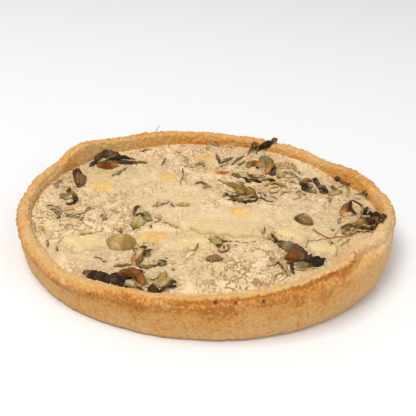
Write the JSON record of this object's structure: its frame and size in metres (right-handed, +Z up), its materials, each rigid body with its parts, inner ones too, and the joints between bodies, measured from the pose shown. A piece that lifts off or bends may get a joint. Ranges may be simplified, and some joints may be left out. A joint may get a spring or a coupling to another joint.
{
  "type": "asparagus quiche",
  "caption": "Whole round quiche: hand-raised flared crust with an uneven rim, set filling with a cracked skin, sunk asparagus, buds and dark curled leaves.",
  "frame": {"origin": "middle of the flat underside", "axes": "+Z up out of the filling, -Y towards the front as pictured, +X to the viewer's right"},
  "size_m": [0.2616, 0.2605, 0.0404],
  "materials": {
    "crust": "baked golden shortcrust, matt with a slight sheen on the browned rim",
    "filling": "set savoury custard, matt, finely cracked skin",
    "asparagus": "soft cooked white asparagus, half gloss, browned spots",
    "bud": "baked olive-brown bud, half gloss",
    "leaf_dark": "dried dark brown leaf",
    "leaf_black": "charred black-brown leaf",
    "leaf_brown": "dried brown leaf",
    "leaf_rust": "rust-brown leaf, slightly glossy",
    "leaf_olive": "olive-brown leaf",
    "leaf_grey": "grey-green leaf dusted with custard",
    "leaf_pale": "pale green leaf under a film of custard",
    "stalk": "thin dried brown stalk"
  },
  "bodies": {
    "root": {"crust": "crust", "filling": "filling", "asparagus_01": "asparagus", "asparagus_02": "asparagus", "asparagus_03": "asparagus", "asparagus_04": "asparagus", "asparagus_05": "asparagus", "asparagus_06": "asparagus", "asparagus_07": "asparagus", "asparagus_08": "asparagus", "asparagus_09": "asparagus", "asparagus_10": "asparagus", "asparagus_11": "asparagus", "asparagus_12": "asparagus", "asparagus_13": "asparagus", "asparagus_14": "asparagus", "bud_01": "bud", "bud_02": "bud", "bud_03": "bud", "bud_04": "bud", "bud_05": "bud", "leaf_arc_back_1": "leaf_grey", "leaf_arc_back_2": "leaf_grey", "leaf_arch_front_left": "leaf_rust", "leaf_arch_right": "leaf_rust", "leaf_band_middle": "leaf_olive", "leaf_belly_right_front": "leaf_rust", "leaf_bent_back": "leaf_olive", "leaf_black_right": "leaf_black", "leaf_brown_left": "leaf_brown", "leaf_curl_front_left": "leaf_brown", "leaf_dark_front": "leaf_dark", "leaf_dark_right_1": "leaf_dark", "leaf_dark_right_2": "leaf_dark", "leaf_fold_back_left": "leaf_dark", "leaf_grey_left": "leaf_grey", "leaf_grey_right": "leaf_grey", "leaf_olive_middle": "leaf_olive", "leaf_olive_right": "leaf_olive", "leaf_over_rim": "leaf_dark", "leaf_pale_front_left": "leaf_pale", "leaf_purple_back": "leaf_dark", "leaf_ragged_back": "leaf_dark", "leaf_ragged_middle": "leaf_dark", "leaf_ribbon_front_left": "leaf_dark", "leaf_ribbon_right_front": "leaf_dark", "leaf_rust_back": "leaf_brown", "leaf_sliver_right": "leaf_olive", "leaf_strip_front": "leaf_olive", "leaf_striped_front": "leaf_pale", "leaf_tips_right_front": "leaf_black", "leaf_twist_front": "leaf_dark", "leaf_wall_right": "leaf_dark", "leaf_wedge_left": "leaf_grey", "stalk_back_rim": "stalk", "stalk_right": "stalk"}
  },
  "joints": []
}
